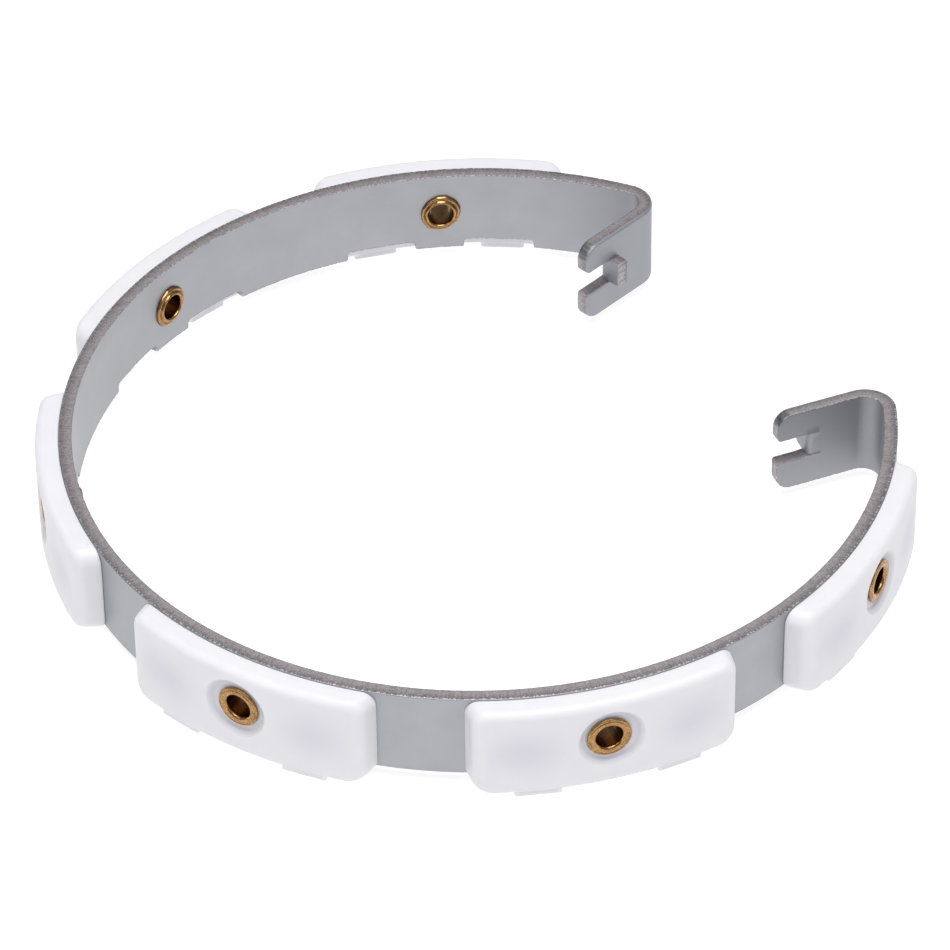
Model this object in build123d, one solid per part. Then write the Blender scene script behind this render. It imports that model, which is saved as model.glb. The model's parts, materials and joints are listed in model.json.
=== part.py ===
from build123d import *
import math
import os

# Tub damping strap: a steel strip bent into an open ring, with friction pads riveted round its
# outside and two slotted ends turned inwards to seat a compression spring.
# Frame: origin at the ring's centre on the plane that the pad lugs stand on, +Z along the ring's
# axis, +X through the middle of the gap. The ring is symmetric about the XZ plane.

# Steel strip
strip_height = 22.2
strip_thickness = 3.18
ring_radius = 99.2              # outside of the strip
arc_end_angle = 32.6            # where the ring's arc ends, each side of the gap axis
bend_radius = 7.4               # outside of the bend at each end
bend_turn = 110.6
end_length = 20.8               # straight part of each turned-in end
end_corner_radius = 4.0
flex_clearance = 0.5            # slit at the back, where the two halves flex about each other

# Slot in each end, with its tongue folded out towards the gap as a spring seat
slot_height = 6.6
slot_offset = 0.4               # slot centre above the middle of the strip
seat_from_tip = 8.1             # the tongue's tip-side face
seat_height = 6.4
seat_reach = 3.3                # how far the tongue stands out of the end's gap face
seat_inner_fold = 0.3           # the tongue is folded hard, so both sides of its fold are tight
seat_outer_fold = 1.6

# Notches in the lower edge, one pair for each pad
notch_angle = 8.9               # each side of the pad's centre
notch_width = 17.8
notch_depth = 2.3
notch_corner = 1.0

# Friction pads
pad_angles = (24.0, 72.1, 118.7)    # from the back of the ring, each side
pad_thickness = 5.6
pad_half_angle = 18.5
pad_end_draft = 2.4             # how much each end draws in from the strip to the outer face
pad_height = 23.5
pad_corner_radius = 3.5
pad_edge_radius = 1.4
lug_angle = 9.3                 # each side of the pad's centre
lug_width = 10.9
lug_thickness = 5.0
lug_drop = 3.2                  # lug below the strip's lower edge
pad_below_strip = 1.5

# Eyelet rivets
barrel_radius = 3.5
bore_radius = 3.1
rivet_play = 0.05
head_radius = 5.3
head_thickness = 1.0
curl_radius = 5.05
curl_height = 1.3
seat_depth = 1.6                # recess floor below the pad's outer face
recess_mouth_radius = 8.0
recess_floor_radius = 6.6

strip_bottom = lug_drop
strip_middle = strip_bottom + strip_height / 2
inner_radius = ring_radius - strip_thickness
pad_radius = ring_radius + pad_thickness
pad_bottom = strip_bottom - pad_below_strip
bend_centre_radius = ring_radius - bend_radius
end_normal_angle = arc_end_angle - bend_turn
overlap = 0.2                   # how far joined volumes run into each other


def polar(radius, angle):
    """Point in the XY plane."""
    return Vector(radius * math.cos(math.radians(angle)), radius * math.sin(math.radians(angle)))


def end_plane():
    """Plane of the left end's gap face: x along the end to its tip, z out into the gap."""
    normal = polar(1, end_normal_angle)
    root = polar(bend_centre_radius, arc_end_angle) + normal * bend_radius
    root = Vector(root.X, root.Y, strip_middle + slot_offset)
    return Plane(origin=root, x_dir=polar(1, end_normal_angle - 90), z_dir=normal)


def strip_section():
    """Left half of the strip, seen along the ring's axis."""
    gap_face = end_plane()
    back_angle = 180 - math.degrees(flex_clearance / 2 / (ring_radius - strip_thickness / 2))
    sweep = arc_end_angle - back_angle
    centre = polar(bend_centre_radius, arc_end_angle)
    root = Vector(gap_face.origin.X, gap_face.origin.Y)
    run = gap_face.x_dir * end_length
    depth = gap_face.z_dir * -strip_thickness
    outline = [
        CenterArc((0, 0), ring_radius, back_angle, sweep),
        CenterArc(centre, bend_radius, arc_end_angle, -bend_turn),
        Line(root, root + run),
        Line(root + run, root + run + depth),
        Line(root + run + depth, root + depth),
        CenterArc(centre, bend_radius - strip_thickness, end_normal_angle, bend_turn),
        CenterArc((0, 0), inner_radius, arc_end_angle, -sweep),
        Line(polar(inner_radius, back_angle), polar(ring_radius, back_angle)),
    ]
    return make_face(Wire(outline))


def spring_seat():
    """Tongue folded out of the slot, from inside the strip to beyond the gap face."""
    face = end_length - seat_from_tip
    back = face - strip_thickness
    start = back - seat_inner_fold - overlap
    corner = seat_outer_fold - strip_thickness
    profile = Plane.XZ * make_face(
        Wire(
            [
                Line((start, -strip_thickness), (face - seat_outer_fold, -strip_thickness)),
                CenterArc((face - seat_outer_fold, corner), seat_outer_fold, -90, 90),
                Line((face, corner), (face, seat_reach)),
                Line((face, seat_reach), (back, seat_reach)),
                Line((back, seat_reach), (back, seat_inner_fold)),
                CenterArc((back - seat_inner_fold, seat_inner_fold), seat_inner_fold, 0, -90),
                Line((back - seat_inner_fold, 0), (start, 0)),
                Line((start, 0), (start, -strip_thickness)),
            ]
        )
    )
    return extrude(profile, seat_height / 2, both=True)


def notch_cutter():
    """Block that cuts one notch, centred on the +X axis."""
    block = Pos(ring_radius, 0, strip_bottom) * Box(20, notch_width, 2 * notch_depth)
    top_edges = block.faces().sort_by(Axis.Z)[-1].edges().filter_by(Axis.X)
    return fillet(top_edges, notch_corner)


def rivet_hole(radius, start, end):
    """Round cutter along +X at the middle of the strip."""
    return Pos(start, 0, strip_middle) * Rot(0, 90, 0) * Cylinder(
        radius, end - start, align=(Align.CENTER, Align.CENTER, Align.MIN)
    )


def strap_half():
    """Left half of the strap, on the +Y side."""
    half = Pos(0, 0, strip_bottom) * extrude(strip_section(), strip_height)
    plane = end_plane()
    tip_edges = half.edges().filter_by(
        lambda e: abs(plane.to_local_coords(e.center()).X - end_length) < 0.01
        and abs(e.length - strip_thickness) < 0.01
        and abs(e.tangent_at(0.5).Z) < 0.01
    )
    half = fillet(tip_edges, end_corner_radius)
    slot_depth = seat_from_tip + strip_thickness + seat_inner_fold
    slot = Pos(end_length - slot_depth, 0, -strip_thickness / 2) * Box(
        slot_depth + 1,
        slot_height,
        strip_thickness + 1,
        align=(Align.MIN, Align.CENTER, Align.CENTER),
    )
    half = half - plane * slot + plane * spring_seat()
    for angle in pad_angles:
        centre = 180 - angle
        for side in (-1, 1):
            half -= Rot(0, 0, centre + side * notch_angle) * notch_cutter()
        half -= Rot(0, 0, centre) * rivet_hole(barrel_radius + rivet_play, inner_radius - 5, ring_radius + 5)
    return half


def friction_pad():
    """Pad centred on the +X axis, with its rivet recess and two lugs."""
    tip_angle = pad_half_angle - math.degrees(pad_end_draft / pad_radius)
    section = make_face(
        Wire(
            [
                CenterArc((0, 0), ring_radius, -pad_half_angle, 2 * pad_half_angle),
                Line(polar(ring_radius, pad_half_angle), polar(pad_radius, tip_angle)),
                CenterArc((0, 0), pad_radius, tip_angle, -2 * tip_angle),
                Line(polar(pad_radius, -tip_angle), polar(ring_radius, -pad_half_angle)),
            ]
        )
    )
    pad = Pos(0, 0, pad_bottom) * extrude(section, pad_height)
    corner_edges = pad.edges().filter_by(
        lambda e: abs(e.tangent_at(0.5).Z) < 0.01 and e.length < 2 * pad_thickness
    )
    pad = fillet(corner_edges, pad_corner_radius)
    outer_face = max(pad.faces(), key=lambda f: math.hypot(f.center().X, f.center().Y))
    pad = fillet(outer_face.edges(), pad_edge_radius)
    for side in (-1, 1):
        lug = Pos(ring_radius, 0, 0) * Box(
            lug_thickness,
            lug_width,
            pad_bottom + 2 * pad_edge_radius,
            align=(Align.MIN, Align.CENTER, Align.MIN),
        )
        pad += Rot(0, 0, side * lug_angle) * lug
    floor = pad_radius - seat_depth
    recess = Pos(floor, 0, strip_middle) * Rot(0, 90, 0) * Cone(
        recess_floor_radius,
        recess_mouth_radius,
        seat_depth,
        align=(Align.CENTER, Align.CENTER, Align.MIN),
    )
    pad -= Cylinder(ring_radius, 4 * strip_height)
    pad -= recess
    pad -= rivet_hole(recess_mouth_radius, pad_radius - overlap, pad_radius + 5)
    pad -= rivet_hole(barrel_radius + rivet_play, ring_radius - 5, pad_radius)
    return pad


def eyelet_rivet():
    """Tubular rivet on the +X axis, from its curl inside the strip to its head in the recess."""
    head_seat = pad_radius - seat_depth
    head_top = head_seat + head_thickness
    curl_seat = math.sqrt(inner_radius**2 - curl_radius**2)
    curl_tip = curl_seat - curl_height
    lip = head_thickness / 2
    profile = Plane.XZ * make_face(
        Wire(
            [
                Line((curl_seat, barrel_radius), (head_seat, barrel_radius)),
                Line((head_seat, barrel_radius), (head_seat, head_radius)),
                Line((head_seat, head_radius), (head_top - lip, head_radius)),
                CenterArc((head_top - lip, head_radius - lip), lip, 90, -90),
                Line((head_top, head_radius - lip), (head_top, bore_radius + lip)),
                CenterArc((head_top - lip, bore_radius + lip), lip, 0, -90),
                Line((head_top - lip, bore_radius), (curl_seat, bore_radius)),
                ThreePointArc(
                    (curl_seat, bore_radius),
                    (curl_tip, (bore_radius + curl_radius) / 2),
                    (curl_seat, curl_radius),
                ),
                Line((curl_seat, curl_radius), (curl_seat, barrel_radius)),
            ]
        )
    )
    return Pos(0, 0, strip_middle) * revolve(profile, Axis.X)


def mirrored(shape):
    """The same piece on the other side of the XZ plane."""
    return mirror(shape, Plane.XZ)


def write(shape, name):
    """Save one piece as its own node."""
    shape.label = name
    export_step(shape, f"parts/{name}.step")


def main():
    os.makedirs("parts", exist_ok=True)
    left_half = strap_half()
    write(left_half, "strap_left")
    write(mirrored(left_half), "strap_right")
    pad = friction_pad()
    rivet = eyelet_rivet()
    turns = [180 - angle for angle in reversed(pad_angles)] + [180 + angle for angle in pad_angles]
    for number, turn in enumerate(turns, 1):
        write(Rot(0, 0, turn) * pad, f"friction_pad_{number}")
        write(Rot(0, 0, turn) * rivet, f"eyelet_rivet_{number}")
    seat = end_plane()
    print("gap face root", seat.origin, "normal", seat.z_dir, "run", seat.x_dir)


main()
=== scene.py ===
import json
import math

import bmesh
import bpy
from mathutils import Matrix, Vector, noise
from mathutils.geometry import delaunay_2d_cdt
from mathutils.kdtree import KDTree

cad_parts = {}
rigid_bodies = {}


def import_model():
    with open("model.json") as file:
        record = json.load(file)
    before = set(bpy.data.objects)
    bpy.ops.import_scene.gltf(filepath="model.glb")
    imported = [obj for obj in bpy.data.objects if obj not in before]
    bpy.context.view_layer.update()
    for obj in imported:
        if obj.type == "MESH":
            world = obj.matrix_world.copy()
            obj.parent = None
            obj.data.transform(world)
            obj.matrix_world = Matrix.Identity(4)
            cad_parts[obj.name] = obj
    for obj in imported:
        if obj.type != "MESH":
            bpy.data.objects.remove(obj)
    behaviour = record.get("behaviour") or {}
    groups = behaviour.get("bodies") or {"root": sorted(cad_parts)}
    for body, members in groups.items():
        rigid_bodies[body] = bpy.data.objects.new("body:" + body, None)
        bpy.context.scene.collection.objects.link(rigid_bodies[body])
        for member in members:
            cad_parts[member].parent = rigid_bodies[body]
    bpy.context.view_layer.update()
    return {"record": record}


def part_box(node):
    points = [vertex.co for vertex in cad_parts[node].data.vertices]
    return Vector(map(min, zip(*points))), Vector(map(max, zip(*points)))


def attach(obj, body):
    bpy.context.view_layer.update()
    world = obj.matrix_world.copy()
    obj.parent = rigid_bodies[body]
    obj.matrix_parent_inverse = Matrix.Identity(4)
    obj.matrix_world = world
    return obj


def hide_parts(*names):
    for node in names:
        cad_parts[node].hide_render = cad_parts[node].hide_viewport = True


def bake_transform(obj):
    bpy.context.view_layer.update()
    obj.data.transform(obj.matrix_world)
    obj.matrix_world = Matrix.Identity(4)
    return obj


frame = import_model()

# Tub damping strap. Meshes are worked out in millimetres in the frame's axes and stored in metres:
# +Z is the ring's axis, +X runs through the middle of the gap, and the lugs stand on z = 0.
MM = 0.001

# Steel strip. Its height, level and radius are taken from the frame.
strap_low, strap_high = (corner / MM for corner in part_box("strap_left"))
strip_bottom = strap_low.z
strip_height = strap_high.z - strap_low.z
ring_radius = -strap_low.x
strip_thickness = 3.18
arc_end_angle = 32.6            # where the ring's arc ends, each side of the gap axis
bend_radius = 7.4               # outside of the bend at each end
bend_turn = 110.6
end_length = 20.8               # straight part of each turned-in end
end_corner_radius = 4.0

# Slot in each end, with the tongue folded out of it as a spring seat
slot_height = 6.6
slot_offset = 0.4               # slot centre above the middle of the strip
seat_from_tip = 8.1             # the tongue's tip-side face
mouth_corners = (0.75, 1.3)     # below and above the slot's mouth
seat_height = 6.56
seat_reach = 3.3                # how far the tongue stands out of the end's gap face
seat_inner_fold = 0.3           # the tongue is folded hard, so both sides of its fold are tight
seat_outer_fold = 1.6
seat_raggedness = 0.3           # how uneven the tongue's torn end is
seat_torn_length = 1.2          # how far back from that end the tearing reaches

# Notches in the lower edge, a pair at each pad
notch_angle = 8.9
notch_width = 17.8
notch_depth = 2.3
notch_corner = 1.0
crisp_corner = 0.62             # small rounding of the blank's other corners

# Edges of the blank: rolled over on the outside, with a torn burr on the inside
ring_roll = 0.3                 # radius of the rolled-over edge
end_roll = 0.85                 # the turned-in ends are worn rounder
slot_roll = 0.35
seat_roll = 0.03                # the slot's edges beside the tongue are sharp
seat_roll_length = 3.0          # they stay sharp this far, and roll over fully in as much again
rub_and_reflection_rise = 2.4                  # how quickly the rubbed look, with its painted dark reflection, sets in at the tip's corners
inner_break = 0.16
inner_break_span = (0.4, 2.5)   # where the inner edge's break starts and ends, in inner breaks
burr_height = 0.08
glint_fade_centre = 58.0           # the painted glints along the sheared borders fade round here, left of the back
ring_step = 0.8                 # spacing of the points along the blank's edges
bend_step = 0.4
seat_step = 0.24
grid_steps = (1.7, 0.45, 1.3, 1.2)  # spacing inside the ring, the bend, the end's root and its tip
grid_rows = 11
seam_gap = 0.9                  # the grid starts this far from the seam at the back
strap_grid_room = 0.5           # the grid keeps this clear of the edges

# Friction pads
pad_thickness = 5.6
pad_half_angle = 18.5
pad_end_draft = 2.4
pad_height = 23.5
pad_corner_radius = 3.5
pad_edge_radius = 2.0
pad_foot_radius = 0.8           # the lower edge is crisper than the others
pad_back_radius = 0.3
pad_below_strip = 1.5
dish_offset = 20.0              # sink marks each side of the rivet
dish_half_size = (12.0, 9.5)
dish_depth = 0.2
lug_angle = 9.3
lug_width = 10.9
lug_thickness = 5.0
lug_round = 0.6
lug_gap = 0.12                  # between a lug and the strap
lug_overlap = 2.2               # how far a lug runs up into its pad
pad_grid_step = 1.3
pad_grid_room = 0.6
pad_back_margin = 0.8

# Eyelet rivets
barrel_radius = 3.5
bore_radius = 3.1
rivet_play = 0.05
head_radius = 5.3
head_thickness = 1.0
head_lip = 0.8                  # rounding into the bore
head_rim = 0.44                 # radius of the bead round the head
head_rim_sink = 0.08            # the bead's top below the head's
head_groove = 4.68              # radius of the groove inside the bead
curl_radius = 5.05
curl_oval = 0.25                # the curls are pressed a little oval
curl_oval_angle = 135
seat_depth = 1.6                # recess floor below the pad's outer face
recess_mouth_radius = 8.0
recess_floor_radius = 6.6
recess_rim_round = 0.45
recess_floor_round = 0.8
recess_floor_hole = 0.3         # last ring of the recess floor round the rivet's hole

strip_middle = strip_bottom + strip_height / 2
inner_radius = ring_radius - strip_thickness
middle_radius = ring_radius - strip_thickness / 2
pad_radius = ring_radius + pad_thickness
pad_bottom = strip_bottom - pad_below_strip
pad_middle = pad_bottom + pad_height / 2

# Lengths along the flat blank, from the back of the ring to one tip
arc_length = middle_radius * math.radians(180 - arc_end_angle)
bend_length = (bend_radius - strip_thickness / 2) * math.radians(bend_turn)
end_start = arc_length + bend_length
blank_length = end_start + end_length
slot_middle = strip_height / 2 + slot_offset
seat_face = end_length - seat_from_tip
seat_root = seat_face - strip_thickness - seat_inner_fold

INSIDE_ONLY = 1                 # triangulation that keeps only the triangles inside the outline
CDT_TOLERANCE = 1e-5
WELD_DISTANCE = 1e-6            # metres


# ---------------------------------------------------------------- outlines and meshes


def polar(radius, degrees):
    """Flat point at that radius and angle."""
    return Vector((math.cos(math.radians(degrees)), math.sin(math.radians(degrees)))) * radius


def smooth(value):
    """Eased share, from 0 to 1."""
    share = max(0, min(1, value))
    return share * share * (3 - 2 * share)


def rounded(corners):
    """Flat points through (x, y, radius) corners, with an arc at each corner that has a radius."""
    points = []
    for number, (x, y, radius) in enumerate(corners):
        corner = Vector((x, y))
        if not radius:
            points.append(corner)
            continue
        before = (Vector(corners[number - 1][:2]) - corner).normalized()
        after = (Vector(corners[number + 1][:2]) - corner).normalized()
        half = before.angle(after) / 2
        centre = corner + (before + after).normalized() * radius / math.sin(half)
        start = corner + before * radius / math.tan(half) - centre
        turn = before.cross(after)
        sweep = math.copysign(math.pi - 2 * half, -turn)
        steps = 14 if radius == end_corner_radius else 6
        for step in range(steps + 1):
            spin = Matrix.Rotation(sweep * step / steps, 2)
            points.append(centre + spin @ start)
    return points


def divided(points, spacing_at):
    """The same polyline with its long runs divided evenly, as close as their middle asks for."""
    result = []
    for start, end in zip(points, points[1:]):
        count = max(1, round((end - start).length / spacing_at((start + end) / 2)))
        result += [start.lerp(end, step / count) for step in range(count)]
    return result + [points[-1]]


def circle(centre, radius, count, turn=1):
    """Closed round loop of flat points; a hole turns by -1."""
    return [centre + polar(radius, turn * 360 * step / count) for step in range(count)]


def inward(points, closed):
    """At each point, the flat step that moves it 1 mm into the material on the left of the line."""
    count = len(points)
    steps = []
    for number, point in enumerate(points):
        normals = []
        if closed or number > 0:
            run = point - points[number - 1]
            normals.append(Vector((-run.y, run.x)).normalized())
        if closed or number < count - 1:
            run = points[(number + 1) % count] - point
            normals.append(Vector((-run.y, run.x)).normalized())
        total = normals[0] + normals[-1]
        steps.append(total / (1 + normals[0].dot(normals[-1])))
    return steps


def fill(loops, inner_points):
    """Triangles inside the first loop and outside the others, through the points inside."""
    points = [point for loop in loops for point in loop] + inner_points
    edges = []
    start = 0
    for loop in loops:
        count = len(loop)
        edges += [(start + step, start + (step + 1) % count) for step in range(count)]
        start += count
    places, _, triangles, sources = delaunay_2d_cdt(points, edges, [], INSIDE_ONLY, CDT_TOLERANCE)[:4]
    faces = []
    for triangle in triangles:
        middle = sum((places[corner] for corner in triangle), Vector((0, 0))) / 3
        if not any(surrounds(hole, middle) for hole in loops[1:]):
            faces.append([sources[corner][0] for corner in triangle])
    return faces


def surrounds(loop, point):
    """True if the closed loop runs round the point."""
    odd = False
    for start, end in zip(loop, loop[1:] + loop[:1]):
        if (start.y > point.y) != (end.y > point.y):
            across = start.x + (point.y - start.y) * (end.x - start.x) / (end.y - start.y)
            odd ^= across > point.x
    return odd


def band(first, second, closed=True):
    """Quads between two rings of the same number of vertices."""
    count = len(first)
    spans = range(count if closed else count - 1)
    return [(first[i], first[(i + 1) % count], second[(i + 1) % count], second[i]) for i in spans]


def clear_of(points, loops, room):
    """The points that keep that distance from every loop's points."""
    edge = [point for loop in loops for point in loop]
    tree = KDTree(len(edge))
    for number, point in enumerate(edge):
        tree.insert((point.x, point.y, 0), number)
    tree.balance()
    return [point for point in points if tree.find((point.x, point.y, 0))[2] > room]


def make_mesh(name, points, faces):
    """Closed mesh from points in millimetres, smooth, with its normals outwards."""
    mesh = bpy.data.meshes.new(name)
    mesh.from_pydata([Vector(point) * MM for point in points], [], faces)
    shape = bmesh.new()
    shape.from_mesh(mesh)
    bmesh.ops.recalc_face_normals(shape, faces=shape.faces)
    shape.to_mesh(mesh)
    shape.free()
    mesh.shade_smooth()
    return mesh


def make_object(name, mesh):
    """Object in the scene with that mesh."""
    made = bpy.data.objects.new(name, mesh)
    bpy.context.scene.collection.objects.link(made)
    return made


def even_normals(piece):
    """Large faces keep their own shading beside small rounded edges."""
    modifier = piece.modifiers.new("even_normals", "WEIGHTED_NORMAL")
    modifier.weight = 70
    modifier.keep_sharp = True


# ---------------------------------------------------------------- strap


def blank_outline():
    """Outline of half the flat blank: length from the back of the ring, height from the lower edge."""
    corners = [(0, 0, 0)]
    half_notch = notch_width / 2
    for centre in rivet_stations():
        for side in (-1, 1):
            middle = centre + side * middle_radius * math.radians(notch_angle)
            corners += [
                (middle - half_notch, 0, crisp_corner),
                (middle - half_notch, notch_depth, notch_corner),
                (middle + half_notch, notch_depth, notch_corner),
                (middle + half_notch, 0, crisp_corner),
            ]
    root = end_start + seat_root
    tongue = root + seat_flat_length
    slot = (slot_middle - slot_height / 2, slot_middle + slot_height / 2)
    seat = (slot_middle - seat_height / 2, slot_middle + seat_height / 2)
    corners += [
        (arc_length, 0, 0),
        (end_start, 0, 0),
        (blank_length, 0, end_corner_radius),
        (blank_length, slot[0], mouth_corners[0]),
        (root, slot[0], 0),
        (root, seat[0], 0),
        (tongue, seat[0], crisp_corner),
        (tongue, seat[1], crisp_corner),
        (root, seat[1], 0),
        (root, slot[1], 0),
        (blank_length, slot[1], mouth_corners[1]),
        (blank_length, strip_height, end_corner_radius),
        (end_start, strip_height, 0),
        (arc_length, strip_height, 0),
        (0, strip_height, 0),
    ]
    return divided(rounded(corners), edge_step)


def edge_step(point):
    """Spacing of the outline's points, closer where the blank is bent or folded."""
    if point.x < arc_length:
        return ring_step
    in_slot = point.x > end_start and past_slot(point) < 0.01
    return seat_step if in_slot else bend_step


def past_slot(point):
    """How far a flat point lies above or below the slot's walls."""
    return abs(point.y - slot_middle) - slot_height / 2


def roll_over(point):
    """Radius of the rolled-over outer edge at a flat point of the outline."""
    worn = ring_roll + (end_roll - ring_roll) * smooth((point.x - arc_length) / bend_length)
    if point.x < end_start:
        return worn
    past_root = point.x - end_start - seat_root
    grown = smooth((past_root - seat_roll_length) / seat_roll_length)
    in_slot = seat_roll + (slot_roll - seat_roll) * grown
    return in_slot + (worn - in_slot) * smooth(past_slot(point) / mouth_corners[1])


def corner_share(point):
    """How much a flat point of the outline belongs to a rounded corner of the tip, from 0 to 1; that share
    is rubbed and gets a painted dark reflection.
    """
    past_x = (point.x - blank_length) / end_corner_radius + 1
    past_y = (abs(point.y - strip_height / 2) - strip_height / 2) / end_corner_radius + 1
    if min(past_x, past_y) <= 0:
        return 0
    return smooth(rub_and_reflection_rise * min(past_x, past_y))


def rivet_stations():
    """Lengths along the blank at which the left side's pads are centred, from the back."""
    angles = [turn_of(node) for node in nodes_of("left_side", "friction_pad")]
    return sorted(middle_radius * (math.pi - angle) for angle in angles)


def blank_grid():
    """Points up the seam at the back, and points inside the blank, closer where it bends."""
    heights = [strip_height * (row + 0.5) / grid_rows for row in range(grid_rows)]
    ring_spacing, bend_spacing, root_spacing, tip_spacing = grid_steps
    root = end_start + seat_root
    tongue = root + seat_flat_length
    stretches = (
        (seam_gap, arc_length, ring_spacing),
        (arc_length, end_start, bend_spacing),
        (end_start, root, root_spacing),
        (root, tongue, seat_step),
        (tongue, blank_length, tip_spacing),
    )
    points = []
    for start, end, spacing in stretches:
        count = math.ceil((end - start) / spacing)
        stations = [start + (end - start) * (step + 0.5) / count for step in range(count)]
        points += [Vector((station, height)) for station in stations for height in heights]
    seam = [Vector((0, height)) for height in reversed(heights)]
    return seam, points


def edge_profile(roll):
    """(inset, depth, bareness, painted glint) steps round the blank's edge, from its outer to its inner
    face.
    """
    profile = []
    inner = inner_break * min(1, roll / ring_roll)
    roll_steps = wall_steps = 5
    for step in range(roll_steps + 1):
        angle = math.pi / 2 * step / roll_steps
        bare = 0 if step < roll_steps - 1 else 0.6
        # Painted glints on the last steps of the roll, fainter where the roll is wider
        painted_glint_border = min(1, ring_roll / roll) if step >= roll_steps - 1 else 0
        profile.append((roll * (1 - math.sin(angle)), roll * (1 - math.cos(angle)), bare, painted_glint_border))
    wall_end = strip_thickness - inner
    for step in range(1, wall_steps + 1):
        profile.append((0, roll + (wall_end - roll) * step / wall_steps, 1, 0))
    # Painted glint along the inner edge's burr
    profile.append((inner * inner_break_span[0], strip_thickness, 0.5, 1))
    profile.append((inner * inner_break_span[1], strip_thickness, 0, 0))
    return profile


def burr(point, depth):
    """Uneven torn lip along the blank's inner edge: how far it stands out at a flat point."""
    if depth < strip_thickness - 0.01:
        return 0
    place = Vector((point.x, point.y, 0))
    coarse, fine = noise.noise(place * 1.3), noise.noise(place * 4.1)
    return burr_height * max(0, 0.25 + (coarse + 0.6 * fine))


def fold_path(depth):
    """For a layer of the tongue that deep: where its fold starts, its radius and its whole length."""
    radius = seat_inner_fold + (seat_outer_fold - seat_inner_fold) * depth / strip_thickness
    start = seat_face - (strip_thickness - depth) - radius
    return start, radius, start - seat_root + radius * math.pi / 2 + seat_reach + depth - radius


seat_flat_length = fold_path(strip_thickness / 2)[2]


def folded(run, depth):
    """Where a point of the tongue lies once folded: along the end, and depth below the gap face."""
    start, radius, length = fold_path(depth)
    distance = (run - seat_root) / seat_flat_length * length
    if seat_root + distance <= start:
        return seat_root + distance, depth
    turn = (seat_root + distance - start) / radius
    if turn <= math.pi / 2:
        return start + radius * math.sin(turn), depth - radius + radius * math.cos(turn)
    return start + radius, depth - radius - (turn - math.pi / 2) * radius


def ragged(point, depth):
    """How far the tongue's torn end stands out at a flat point."""
    from_end = end_start + seat_root + seat_flat_length - point.x
    if abs(from_end) > seat_torn_length or abs(point.y - slot_middle) > seat_height / 2:
        return 0
    place = Vector((point.y, depth, 0))
    coarse, fine = noise.noise(place * 0.55), noise.noise(place * 1.5)
    rough = 0.7 * coarse + 0.5 * fine
    return seat_raggedness * (rough - 0.3) * (1 - from_end / seat_torn_length)


def bent(along, height, depth):
    """Place in the ring, on its left side, of a point of the flat blank."""
    level = strip_bottom + height
    bend_centre = polar(ring_radius - bend_radius, arc_end_angle)
    if along <= arc_length:
        place = polar(ring_radius - depth, 180 - math.degrees(along / middle_radius))
    elif along <= end_start:
        turn = (along - arc_length) / bend_length * bend_turn
        place = bend_centre + polar(bend_radius - depth, arc_end_angle - turn)
    else:
        run = along - end_start
        if run > seat_root and abs(height - slot_middle) < (seat_height + slot_height) / 4:
            run, depth = folded(run, depth)
        normal = arc_end_angle - bend_turn
        place = bend_centre + polar(bend_radius - depth, normal) + polar(run, normal - 90)
    return place.x, place.y, level


def strap_blank():
    """Half the flat blank as (along, height, depth, bareness, painted glint, rub with painted reflection)
    points, and its faces.
    """
    hole_radius = barrel_radius + rivet_play
    hole_count = 40
    chains = [(blank_outline(), False)]
    for station in rivet_stations():
        centre = Vector((station, strip_height / 2))
        chains.append((circle(centre, hole_radius, hole_count, -1), True))
    seam, grid = blank_grid()
    points, faces, outer_rings, inner_rings, loops = [], [], [], [], []
    for line, closed in chains:
        steps = inward(line, closed)
        profiles = [edge_profile(roll_over(point)) for point in line]
        rubs_and_reflections = [corner_share(point) for point in line]
        rings = []
        for level in range(len(profiles[0])):
            first = len(points)
            for point, step, profile, rub_and_reflection in zip(line, steps, profiles, rubs_and_reflections):
                inset, depth, bare, painted_glint_border = profile[level]
                flat = point + step * inset
                flat.x += ragged(flat, depth)
                lift = burr(point, depth) if painted_glint_border else 0
                # The slot's sides get no painted glints; the tongue's torn end gets patchy ones
                if point.x > end_start and past_slot(point) < 0.01:
                    painted_glint_border = 0.5 if ragged(flat, depth) and bare == 1 else 0
                points.append((flat.x, flat.y, depth + lift, bare, painted_glint_border, rub_and_reflection))
            rings.append(range(first, len(points)))
        for first, second in zip(rings, rings[1:]):
            faces += band(first, second, closed)
        outer_rings += list(rings[0])
        inner_rings += list(rings[-1])
        loops.append([point + step * profile[0][0] for point, step, profile in zip(line, steps, profiles)])
        if not closed:
            loops[0] += seam
            for depth, ring in ((0, outer_rings), (strip_thickness, inner_rings)):
                ring += range(len(points), len(points) + len(seam))
                points += [(point.x, point.y, depth, 0, 0, 0) for point in seam]
    grid = clear_of(grid, loops, strap_grid_room)
    for depth, ring in ((0, outer_rings), (strip_thickness, inner_rings)):
        ring += range(len(points), len(points) + len(grid))
        points += [(point.x, point.y, depth, 0, 0, 0) for point in grid]
    for face in fill(loops, grid):
        faces.append([outer_rings[corner] for corner in face])
        faces.append([inner_rings[corner] for corner in reversed(face)])
    return points, faces


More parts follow.
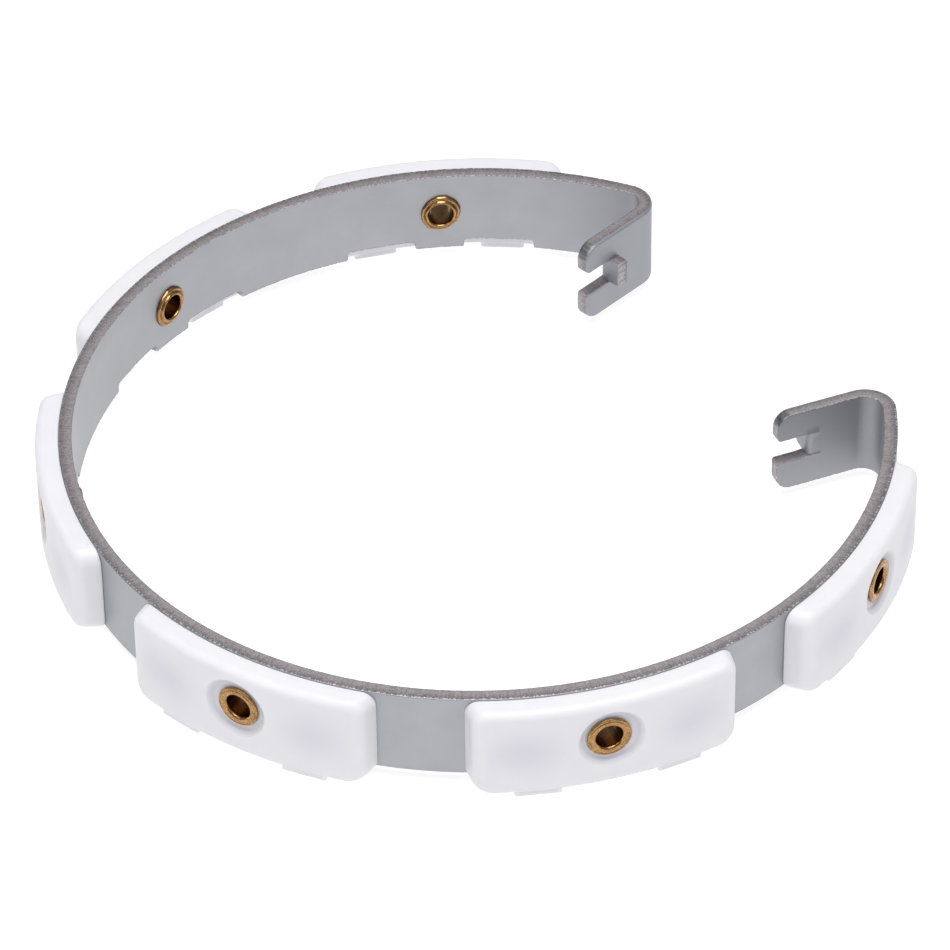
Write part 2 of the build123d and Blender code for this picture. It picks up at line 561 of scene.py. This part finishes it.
def make_strap():
    """The whole strap: one blank bent into the ring, its two mirrored halves welded at the back."""
    half, half_faces = strap_blank()
    count = len(half)
    places = [bent(*point[:3]) for point in half]
    places += [(x, -y, z) for x, y, z in places]
    faces = [list(face) for face in half_faces]
    faces += [[corner + count for corner in reversed(face)] for face in half_faces]
    mesh = bpy.data.meshes.new("strap")
    mesh.from_pydata([Vector(place) * MM for place in places], [], faces)
    for name in ("blank", "edge"):
        mesh.attributes.new(name, "FLOAT_VECTOR", "POINT")
    blank, edge = mesh.attributes["blank"], mesh.attributes["edge"]
    for number in range(2 * count):
        along, height, depth, *marks = half[number % count]
        side = 1 if number < count else -1
        blank.data[number].vector = (side * along, height, depth)
        edge.data[number].vector = marks
    shape = bmesh.new()
    shape.from_mesh(mesh)
    loose = [vertex for vertex in shape.verts if not vertex.link_faces]
    bmesh.ops.delete(shape, geom=loose, context="VERTS")
    bmesh.ops.remove_doubles(shape, verts=shape.verts, dist=WELD_DISTANCE)
    bmesh.ops.recalc_face_normals(shape, faces=shape.faces)
    shape.to_mesh(mesh)
    shape.free()
    mesh.shade_smooth()
    strap = make_object("strap", mesh)
    strap.data.materials.append(strap_steel())
    even_normals(strap)
    return strap


# ---------------------------------------------------------------- pads


def pad_loop(half_length, low, high, corner):
    """Rounded rectangle round the pad, with as many points whatever its size."""
    corner_steps, side_steps = 8, (34, 12)
    points = []
    for quarter, (side_x, side_y) in enumerate(((1, 1), (-1, 1), (-1, -1), (1, -1))):
        level = high - corner if side_y > 0 else low + corner
        centre = Vector((side_x * (half_length - corner), level))
        arc = [
            centre + polar(corner, 90 * (quarter + step / corner_steps))
            for step in range(corner_steps + 1)
        ]
        if points:
            points += run_between(points[-1], arc[0], side_steps[(quarter + 1) % 2])
        points += arc
    return points + run_between(points[-1], points[0], side_steps[1])


def run_between(start, end, count):
    """Points evenly between two, without them."""
    return [start.lerp(end, step / count) for step in range(1, count)]


def on_cylinder(across, level, height):
    """Place of a point by its distance round the ring, its level and its height off the strap."""
    radius = ring_radius + height
    angle = across / radius
    return radius * math.cos(angle), radius * math.sin(angle), level


def dish(across, level):
    """Share of the full sink mark at a point of the pad's face, from 0 to 1."""
    reach = Vector(
        ((abs(across) - dish_offset) / dish_half_size[0], (level - pad_middle) / dish_half_size[1])
    ).length
    if reach >= 1:
        return 0
    return (1 - reach * reach) ** 2


def pad_outline(inset, height):
    """Loop round the pad at that height off the strap; its lower edge has a rounding of its own."""
    half_length = math.radians(pad_half_angle) * (ring_radius + height)
    half_length -= pad_end_draft * height / pad_thickness + inset
    foot = max(0, height - pad_thickness + pad_foot_radius)
    foot_inset = pad_foot_radius - math.sqrt(max(0, pad_foot_radius**2 - foot**2))
    if height < pad_back_radius:
        foot_inset = inset
    corner = pad_corner_radius - inset * 0.4
    return pad_loop(half_length, pad_bottom + foot_inset, pad_bottom + pad_height - inset, corner)


def pad_shell_steps():
    """(inset, height) steps up the pad's side, from its back to its outer face."""
    steps = []
    back_steps, front_steps, wall_steps = 3, 8, 4
    for step in range(back_steps + 1):
        angle = math.pi / 2 * step / back_steps
        steps.append((pad_back_radius * (1 - math.sin(angle)), pad_back_radius * (1 - math.cos(angle))))
    wall_end = pad_thickness - pad_edge_radius
    for step in range(1, wall_steps):
        steps.append((0, pad_back_radius + (wall_end - pad_back_radius) * step / wall_steps))
    for step in range(front_steps + 1):
        angle = math.pi / 2 * step / front_steps
        inset = pad_edge_radius * (1 - math.cos(angle))
        steps.append((inset, wall_end + pad_edge_radius * math.sin(angle)))
    return steps


def recess_steps():
    """(radius, depth below the face) steps down the recess, from its rim to the rivet's hole."""
    steps = []
    count = 6
    slope = math.atan2(recess_mouth_radius - recess_floor_radius, seat_depth)
    sweep = math.pi / 2 - slope
    rim = recess_mouth_radius + recess_rim_round * math.tan(sweep / 2)
    for step in range(count + 1):
        angle = sweep * step / count
        steps.append((rim - recess_rim_round * math.sin(angle), recess_rim_round * (1 - math.cos(angle))))
    floor = recess_floor_radius - recess_floor_round * math.tan(sweep / 2)
    for step in range(count + 1):
        angle = sweep * (1 - step / count)
        steps.append(
            (
                floor + recess_floor_round * math.sin(angle),
                seat_depth - recess_floor_round * (1 - math.cos(angle)),
            )
        )
    hole = barrel_radius + rivet_play
    steps.append((hole + recess_floor_hole, seat_depth))
    steps.append((hole, seat_depth))
    return steps


def pad_points():
    """The pad centred on the +X axis, without its lugs: points with their share of painted shade from the
    sink marks and the recess, and faces.
    """
    points, faces = [], []
    rings, recess = [], []
    for inset, height in pad_shell_steps():
        front_loop = pad_outline(inset, height)
        rings.append(range(len(points), len(points) + len(front_loop)))
        points += [(*on_cylinder(point.x, point.y, height), 0) for point in front_loop]
    for first, second in zip(rings, rings[1:]):
        faces += band(first, second)
    count = 64
    axis = Vector((0, strip_middle))
    for radius, depth in recess_steps():
        share = depth / seat_depth
        recess.append(range(len(points), len(points) + count))
        for point in circle(axis, radius, count, -1):
            bulge = pad_radius - math.sqrt(pad_radius**2 - point.x**2)
            out = pad_radius - (1 - share) * bulge - depth
            # The recess gets painted shade, full from a third of the way down
            points.append((out, point.x, point.y, smooth(3 * share)))
    hole_radius = barrel_radius + rivet_play
    hole = circle(axis, hole_radius, count, -1)
    recess.append(range(len(points), len(points) + count))
    points += [(math.sqrt(ring_radius**2 - point.x**2), point.x, point.y, 0) for point in hole]
    for first, second in zip(recess, recess[1:]):
        faces += band(first, second)
    rim_radius = recess_steps()[0][0]
    front_loops = [front_loop, circle(axis, rim_radius, count, -1)]
    back_loops = [pad_outline(*pad_shell_steps()[0]), hole]
    for loops, outer, inner, margin, opening, place in (
        (front_loops, rings[-1], recess[0], pad_edge_radius, rim_radius, on_front),
        (back_loops, rings[0], recess[-1], pad_back_margin, barrel_radius, on_back),
    ):
        grid = clear_of(pad_grid(margin), loops, pad_grid_room)
        grid = [point for point in grid if (point - axis).length > opening + pad_grid_room]
        corners = [*outer, *inner, *range(len(points), len(points) + len(grid))]
        points += [place(point) for point in grid]
        faces += [[corners[corner] for corner in face] for face in fill(loops, grid)]
    return points, faces


def on_front(point):
    """Place of a flat point on the pad's outer face, and its sink mark share, which also sets the painted
    shade there.
    """
    share = dish(point.x, point.y)
    return *on_cylinder(point.x, point.y, pad_thickness - dish_depth * share), share


def on_back(point):
    """Place of a flat point on the pad's back, which has no sink marks."""
    return *on_cylinder(point.x, point.y, 0), 0


def pad_grid(margin):
    """Flat points evenly over the pad, inside its outline by that margin."""
    half_length = math.radians(pad_half_angle) * ring_radius - pad_end_draft - margin
    half_height = pad_height / 2 - margin
    columns, rows = 24, 8
    points = [
        Vector((column * pad_grid_step, pad_middle + row * pad_grid_step))
        for column in range(-columns, columns + 1)
        for row in range(-rows, rows + 1)
    ]
    return [p for p in points if abs(p.x) < half_length and abs(p.y - pad_middle) < half_height]


def make_lug(side):
    """Rounded foot under the pad, on one side of its middle."""
    shape = bmesh.new()
    top = pad_bottom + lug_overlap
    depth = lug_thickness - lug_gap
    bmesh.ops.create_cube(shape, size=1)
    for vertex in shape.verts:
        vertex.co.x = vertex.co.x * depth + ring_radius + lug_gap + depth / 2
        vertex.co.y *= lug_width
        vertex.co.z = top * (vertex.co.z + 0.5)
    edges = [edge for edge in shape.edges if min(v.co.z for v in edge.verts) < 0.1]
    bmesh.ops.bevel(shape, geom=edges, offset=lug_round, segments=5, profile=0.5, affect="EDGES")
    turn = Matrix.Rotation(math.radians(side * lug_angle), 3, "Z")
    bmesh.ops.rotate(shape, verts=shape.verts, matrix=turn)
    bmesh.ops.scale(shape, verts=shape.verts, vec=(MM, MM, MM))
    mesh = bpy.data.meshes.new("lug")
    shape.to_mesh(mesh)
    shape.free()
    mesh.shade_smooth()
    return mesh


def pad_mesh():
    """One pad centred on the +X axis, with its two lugs joined on."""
    points, faces = pad_points()
    mesh = make_mesh("friction_pad", [point[:3] for point in points], faces)
    # Painted shade in the sink marks and down the rivet's recess
    painted_shade_share = mesh.attributes.new("painted_shade_share", "FLOAT", "POINT")
    for number, point in enumerate(points):
        painted_shade_share.data[number].value = point[3]
    body = make_object("pad_body", mesh)
    for side in (-1, 1):
        lug = make_object("pad_lug", make_lug(side))
        union = body.modifiers.new("join", "BOOLEAN")
        union.operation = "UNION"
        union.solver = "EXACT"
        union.object = lug
    depsgraph = bpy.context.evaluated_depsgraph_get()
    joined = bpy.data.meshes.new_from_object(body.evaluated_get(depsgraph))
    for scratch in [piece for piece in bpy.data.objects if piece.name.startswith("pad_")]:
        bpy.data.objects.remove(scratch)
    joined.name = "friction_pad"
    joined.shade_smooth()
    joined.materials.clear()
    joined.materials.append(pad_plastic())
    return joined


# ---------------------------------------------------------------- rivets


def rivet_profile():
    """(x, radius, painted shade) round the rivet's wall: head in the recess, barrel, curl inside the
    strap.
    """
    head_seat = pad_radius - seat_depth
    head_top = head_seat + head_thickness
    profile = [(head_seat, barrel_radius, 0), (head_seat, head_radius - 0.4, 0.6)]
    rim_steps, lip_steps, bore_steps = 10, 7, 8
    rim_x = head_top - head_rim_sink - head_rim
    for step in range(rim_steps + 1):
        angle = math.radians(-65 + 160 * step / rim_steps)
        radius = head_radius - head_rim + head_rim * math.cos(angle)
        profile.append((rim_x + head_rim * math.sin(angle), radius, 0))
    profile += [
        (head_top - 0.13, head_groove + 0.08, 0.2),
        (head_top - 0.18, head_groove, 0.8),
        (head_top - 0.08, head_groove - 0.1, 0.2),
        (head_top - 0.01, head_groove - 0.22, 0),
        (head_top, (head_groove + bore_radius + head_lip) / 2, 0),
    ]
    lip_x = head_top - head_lip
    for step in range(lip_steps + 1):
        angle = math.radians(90 * step / lip_steps)
        radius = bore_radius + head_lip - head_lip * math.sin(angle)
        profile.append((lip_x + head_lip * math.cos(angle), radius, 0.4 * (step == lip_steps)))
    curl_seat = math.sqrt(inner_radius**2 - curl_radius**2)
    bore_end = curl_seat - 0.4
    for step in range(1, bore_steps):
        profile.append((lip_x + (bore_end - lip_x) * step / bore_steps, bore_radius, 0.9))
    # Heights inside the strap, radii and painted shade round the doubly rolled curl
    curl = (
        (0.45, 3.10, 0.8), (0.80, 3.12, 0.3), (1.05, 3.22, 0), (1.22, 3.37, 0), (1.30, 3.55, 0),
        (1.25, 3.72, 0), (1.12, 3.87, 0), (0.92, 3.99, 0.2), (0.74, 4.09, 0.8), (0.68, 4.18, 1),
        (0.72, 4.27, 0.6), (0.78, 4.38, 0), (0.78, 4.54, 0), (0.70, 4.70, 0), (0.55, 4.85, 0),
        (0.36, 4.97, 0.1), (0.16, 5.04, 0.5), (0.0, 5.05, 0.9), (-0.08, 5.0, 1), (-0.12, 4.7, 1),
    )
    profile += [(curl_seat - height, radius, worn) for height, radius, worn in curl]
    profile.append((inner_radius + 0.1, barrel_radius, 1))
    profile.append((inner_radius + 0.4, barrel_radius, 0))
    return profile


def rivet_mesh():
    """One rivet on the +X axis, its curl a little uneven as a pressed curl is."""
    count = 80
    points, hollow_shades, rings = [], [], []
    for x, radius, worn in rivet_profile():
        rings.append(range(len(points), len(points) + count))
        for step in range(count):
            angle = 2 * math.pi * step / count
            around = Vector((math.cos(angle), math.sin(angle), 0))
            out = 0
            if x < inner_radius and radius > bore_radius + 0.05:
                share = (radius - bore_radius) / (curl_radius - bore_radius)
                out = curl_oval * math.cos(2 * (angle - math.radians(curl_oval_angle)))
                out += 0.22 * noise.noise(around * 1.7) + 0.16 * noise.noise(around * 4.5)
                out *= share
            points.append((x, (radius + out) * around.x, strip_middle + (radius + out) * around.y))
            hollow_shades.append(worn)
    faces = []
    for first, second in zip(rings, rings[1:] + rings[:1]):
        faces += band(first, second)
    mesh = make_mesh("eyelet_rivet", points, faces)
    # The worn attribute carries painted shade for the bore, grooves and crevices
    worn = mesh.attributes.new("worn", "FLOAT", "POINT")
    worn.data.foreach_set("value", hollow_shades)
    mesh.materials.append(rivet_brass())
    return mesh


# ---------------------------------------------------------------- materials

# Pairs of colours run from the first, where their noise is low, to the second
zinc_colours = (0.355, 0.362, 0.384, 1), (0.41, 0.417, 0.44, 1)
strained_zinc = (0.375, 0.383, 0.412, 1)
torn_colours = (0.15, 0.134, 0.139, 1), (0.585, 0.546, 0.56, 1)
# Painted dark reflection for the rubbed corners of the tips
rubbed_painted_reflection_colours = (0.15, 0.153, 0.152, 1), (0.30, 0.306, 0.304, 1)
# Dark and bright dashes of painted glint along the sheared borders
painted_glint_colours = (0.18, 0.17, 0.18, 1), (0.80, 0.78, 0.79, 1)
# Plain white, and the painted shade of the sink marks and recess
plastic_and_shade_colours = (0.795, 0.791, 0.82, 1), (0.69, 0.678, 0.745, 1)
brass_colours = (0.26, 0.135, 0.045, 1), (0.55, 0.335, 0.145, 1)
# Random tarnish, and painted shade in the bore and hollows
tarnish_and_shade_colour = (0.16, 0.08, 0.036, 1)


def add(tree, kind, inputs=None, **settings):
    """New shader node, with its settings, and its inputs as values or links."""
    made = tree.nodes.new("ShaderNode" + kind)
    for name, value in settings.items():
        setattr(made, name, value)
    for name, value in (inputs or {}).items():
        if isinstance(value, bpy.types.NodeSocket):
            tree.links.new(value, made.inputs[name])
        else:
            made.inputs[name].default_value = value
    return made


def new_material(name, **sockets):
    """Principled material with those uniform values."""
    material = bpy.data.materials.new(name)
    material.use_nodes = True
    tree = material.node_tree
    shader = tree.nodes["Principled BSDF"]
    for socket, value in sockets.items():
        shader.inputs[socket.replace("_", " ")].default_value = value
    return material, tree, shader


def noise_of(tree, vector, scale, detail=3, roughness=0.55, stretch=None):
    """Noise value over that vector, which stretch scales first along each axis."""
    if stretch:
        vector = add(tree, "Mapping", {"Vector": vector, "Scale": stretch}).outputs["Vector"]
    inputs = {"Vector": vector, "Scale": scale, "Detail": detail, "Roughness": roughness}
    return add(tree, "TexNoise", inputs).outputs["Fac"]


def ranged(tree, value, low, high, to_low, to_high):
    """Value mapped from one range to another, and clamped."""
    inputs = {"Value": value, "From Min": low, "From Max": high, "To Min": to_low, "To Max": to_high}
    return add(tree, "MapRange", inputs).outputs["Result"]


def sum_of(tree, first, second, operation="ADD"):
    """Sum of two values, or what another operation makes of them."""
    return add(tree, "Math", {0: first, 1: second}, operation=operation).outputs[0]


def size_of(tree, value):
    """Value without its sign."""
    return add(tree, "Math", {0: value}, operation="ABSOLUTE").outputs[0]


def mixed(tree, factor, first, second):
    """Colour between two colours."""
    node = add(tree, "Mix", {0: factor, 6: first, 7: second}, data_type="RGBA")
    return node.outputs[2]


def strap_steel():
    """Galvanised faces with a fine dull grain, and bare, torn sheared edges, with painted glints along
    their borders and painted dark reflections on the tips' rubbed corners.
    """
    material, tree, shader = new_material("strap_steel", Metallic=1.0)
    blank = add(tree, "Attribute", attribute_name="blank").outputs["Vector"]
    edge = add(tree, "Attribute", attribute_name="edge").outputs["Vector"]
    bare, painted_glint_border, rub_and_reflection = add(tree, "SeparateXYZ", {0: edge}).outputs
    along, _, depth = add(tree, "SeparateXYZ", {0: blank}).outputs
    cloud = noise_of(tree, blank, 0.1, 3)
    grain = noise_of(tree, blank, 2.4, 4, 0.7)
    tone = sum_of(tree, ranged(tree, cloud, 0.3, 0.7, 0.0, 0.5), ranged(tree, grain, 0.3, 0.7, 0.0, 0.5))
    zinc = mixed(tree, tone, *zinc_colours)
    strained = ranged(tree, size_of(tree, along), arc_length - 30, arc_length + 4, 0.0, 0.6)
    zinc = mixed(tree, strained, zinc, strained_zinc)

    speckle = noise_of(tree, blank, 3.4, 3, 0.85)
    scratch = noise_of(tree, blank, 2.0, 3, 0.7, (1.0, 1.0, 0.12))
    fracture = ranged(tree, sum_of(tree, depth, speckle), 1.2, 2.6, 0.0, 0.3)
    speckled = ranged(tree, speckle, 0.38, 0.62, 0.0, 0.75)
    torn = sum_of(tree, speckled, ranged(tree, scratch, 0.36, 0.64, 0.0, 0.3))
    torn = sum_of(tree, sum_of(tree, torn, 0.7, "MULTIPLY"), fracture)
    steel = mixed(tree, torn, *torn_colours)
    # Painted dark reflection on the tips' rubbed corners, with a scratched grain
    rubbed_painted_reflection = mixed(tree, ranged(tree, scratch, 0.4, 0.6, 0.0, 1.0), *rubbed_painted_reflection_colours)
    steel = mixed(tree, rub_and_reflection, steel, rubbed_painted_reflection)
    share = sum_of(tree, bare, ranged(tree, speckle, 0.3, 0.7, -0.2, 0.2))
    share = ranged(tree, share, 0.35, 0.65, 0.0, 1.0)

    # Painted glints: bright and dark dashes along the sheared borders and the tongue's torn end, fainter
    # left of the back
    glint_noise = noise_of(tree, blank, 1.5, 2, 0.6, (1.0, 0.6, 0.25))
    glint_dash = ranged(tree, glint_noise, 0.49, 0.56, 0.0, 1.0)
    line = mixed(tree, glint_dash, *painted_glint_colours)
    from_glint_fade = size_of(tree, sum_of(tree, along, -glint_fade_centre))
    painted_glint_border = ranged(tree, painted_glint_border, 0.4, 0.9, 0.0, 0.8)
    painted_glint_border = sum_of(tree, painted_glint_border, ranged(tree, from_glint_fade, 18, 55, 0.3, 1.0), "MULTIPLY")
    colour = mixed(tree, painted_glint_border, mixed(tree, share, zinc, steel), line)
    tree.links.new(colour, shader.inputs["Base Color"])

    dull = sum_of(tree, ranged(tree, grain, 0.3, 0.7, 0.42, 0.52), sum_of(tree, strained, 0.2, "MULTIPLY"))
    bare_rough = add(tree, "Mix", {0: rub_and_reflection, 2: 0.6, 3: 0.3}).outputs[0]
    rough = add(tree, "Mix", {0: share, 2: dull, 3: bare_rough}).outputs[0]
    rough = add(tree, "Mix", {0: painted_glint_border, 2: rough, 3: 0.42}).outputs[0]
    tree.links.new(rough, shader.inputs["Roughness"])
    height = sum_of(tree, sum_of(tree, grain, 0.2, "MULTIPLY"), sum_of(tree, torn, share, "MULTIPLY"))
    bump = add(tree, "Bump", {"Height": height, "Strength": 0.5, "Distance": 0.00012})
    tree.links.new(bump.outputs["Normal"], shader.inputs["Normal"])
    return material


def pad_plastic():
    """White moulded nylon, slightly translucent, with a soft satin face and painted shade in its sink
    marks and recess.
    """
    material, tree, shader = new_material("pad_plastic", IOR=1.5)
    shader.inputs["Subsurface Weight"].default_value = 0.35
    shader.inputs["Subsurface Radius"].default_value = (1.0, 0.95, 0.95)
    shader.inputs["Subsurface Scale"].default_value = 1.6 * MM
    place = add(tree, "TexCoord").outputs["Object"]
    painted_shade_share = add(tree, "Attribute", attribute_name="painted_shade_share").outputs["Fac"]
    cloud = noise_of(tree, place, 90, 3)
    # Painted shade in the sink marks and recess, plus a little random tone
    tint = sum_of(tree, sum_of(tree, painted_shade_share, 0.75, "MULTIPLY"), ranged(tree, cloud, 0.35, 0.7, 0.0, 0.2))
    tree.links.new(mixed(tree, tint, *plastic_and_shade_colours), shader.inputs["Base Color"])
    grain = noise_of(tree, place, 2200, 3)
    tree.links.new(ranged(tree, grain, 0.3, 0.7, 0.40, 0.52), shader.inputs["Roughness"])
    bump = add(tree, "Bump", {"Height": grain, "Strength": 0.2, "Distance": 0.00003})
    tree.links.new(bump.outputs["Normal"], shader.inputs["Normal"])
    return material


def rivet_brass():
    """Brass, a little tarnished, with painted shade down its bore, in its grooves and crevices."""
    material, tree, shader = new_material("rivet_brass", Metallic=1.0)
    place = add(tree, "TexCoord").outputs["Object"]
    worn = add(tree, "Attribute", attribute_name="worn").outputs["Fac"]
    speckle = noise_of(tree, place, 2600, 3, 0.75)
    streak = noise_of(tree, place, 1300, 3, 0.6, (0.08, 1.0, 1.0))
    cloud = noise_of(tree, place, 420, 3)
    # Painted shade from the worn attribute, plus random tarnish and streaks
    tarnish_and_shade = sum_of(tree, sum_of(tree, worn, 0.75, "MULTIPLY"), ranged(tree, cloud, 0.42, 0.75, 0.0, 0.4))
    tarnish_and_shade = sum_of(tree, tarnish_and_shade, ranged(tree, streak, 0.4, 0.65, 0.12, -0.12))
    clean = mixed(tree, ranged(tree, speckle, 0.38, 0.62, 0.0, 1.0), *brass_colours)
    tree.links.new(mixed(tree, tarnish_and_shade, clean, tarnish_and_shade_colour), shader.inputs["Base Color"])
    tree.links.new(ranged(tree, cloud, 0.3, 0.7, 0.17, 0.30), shader.inputs["Roughness"])
    bump = add(tree, "Bump", {"Height": speckle, "Strength": 0.3, "Distance": 0.00004})
    tree.links.new(bump.outputs["Normal"], shader.inputs["Normal"])
    return material


def floor_white():
    """Pale matte floor that burns out to white under the studio light."""
    material, tree, shader = new_material("floor_white", Roughness=0.9)
    shader.inputs["Base Color"].default_value = (0.36, 0.36, 0.36, 1)
    shader.inputs["Emission Color"].default_value = (1, 1, 1, 1)
    shader.inputs["Emission Strength"].default_value = 0.8
    return material


# ---------------------------------------------------------------- places in the frame


def nodes_of(body, start):
    """The frame's nodes on that body whose names start so."""
    members = frame["record"]["behaviour"]["bodies"][body]
    return [node for node in members if node.startswith(start)]


def turn_of(node):
    """Angle round the ring at which a CAD node is centred, in radians."""
    low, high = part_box(node)
    middle = (low + high) / 2
    return math.atan2(middle.y, middle.x)


def place_round_ring(mesh, kind):
    """A copy of the mesh for each CAD node of that kind, turned to its place and riding on its body."""
    for body in frame["record"]["behaviour"]["bodies"]:
        for node in nodes_of(body, kind):
            piece = make_object(node + "_look", mesh)
            piece.matrix_world = Matrix.Rotation(turn_of(node), 4, "Z")
            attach(piece, body)
            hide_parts(node)
            even_normals(piece)


# ---------------------------------------------------------------- studio


def make_floor():
    """Pale floor, far wider than the camera sees."""
    half = 3.0
    mesh = bpy.data.meshes.new("floor")
    corners = [(-half, -half, 0), (half, -half, 0), (half, half, 0), (-half, half, 0)]
    mesh.from_pydata(corners, [], [(0, 1, 2, 3)])
    mesh.materials.append(floor_white())
    floor = make_object("floor", mesh)


def make_light(name, place, size, power):
    """Soft square light that faces the object."""
    data = bpy.data.lights.new(name, "AREA")
    data.size = size
    data.energy = power
    light = bpy.data.objects.new(name, data)
    bpy.context.scene.collection.objects.link(light)
    light.location = place
    light.rotation_mode = "QUATERNION"
    light.rotation_quaternion = (-Vector(place)).to_track_quat("-Z", "Y")


def make_studio():
    """Dim even surroundings, a large soft light overhead and two weak ones beside it."""
    world = bpy.data.worlds.new("studio")
    world.use_nodes = True
    background = world.node_tree.nodes["Background"]
    background.inputs["Color"].default_value = (0.97, 0.98, 1, 1)
    background.inputs["Strength"].default_value = 0.34
    scene = bpy.context.scene
    scene.world = world
    scene.view_settings.view_transform = "Standard"
    make_light("overhead", (-0.08, -0.22, 1.2), 1.0, 14.3)
    make_light("side", (-1.1, 0.1, 0.9), 0.5, 1.5)
    make_light("front", (0.1, -1.3, 0.7), 0.5, 0.3)


def make_camera():
    """Camera that looks down on the ring from beside its back, with the gap on the far right."""
    azimuth, elevation, roll = (math.radians(angle) for angle in (-33.9, 39.82, -0.81))
    distance = 1.345
    aim_right, aim_up = -0.0009, 0.0037     # from the ring's centre, on the strip's lower edge
    back = Vector(
        (
            math.sin(azimuth) * math.cos(elevation),
            -math.cos(azimuth) * math.cos(elevation),
            math.sin(elevation),
        )
    )
    right = Vector((math.cos(azimuth), math.sin(azimuth), 0))
    spin = Matrix.Rotation(roll, 3, back)
    right = spin @ right
    up = back.cross(right)
    data = bpy.data.cameras.new("camera")
    data.lens = 213.2
    data.sensor_width = 36.0
    camera = bpy.data.objects.new("camera", data)
    bpy.context.scene.collection.objects.link(camera)
    aim = Vector((0, 0, strip_bottom * MM)) + right * aim_right + up * aim_up
    turn = Matrix((right, up, back)).transposed().to_4x4()
    camera.matrix_world = Matrix.Translation(aim + back * distance) @ turn
    bpy.context.scene.camera = camera


# ---------------------------------------------------------------- the object

make_camera()
make_studio()
make_floor()

strap = make_strap()
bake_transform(strap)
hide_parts("strap_left", "strap_right")

place_round_ring(pad_mesh(), "friction_pad")
place_round_ring(rivet_mesh(), "eyelet_rivet")
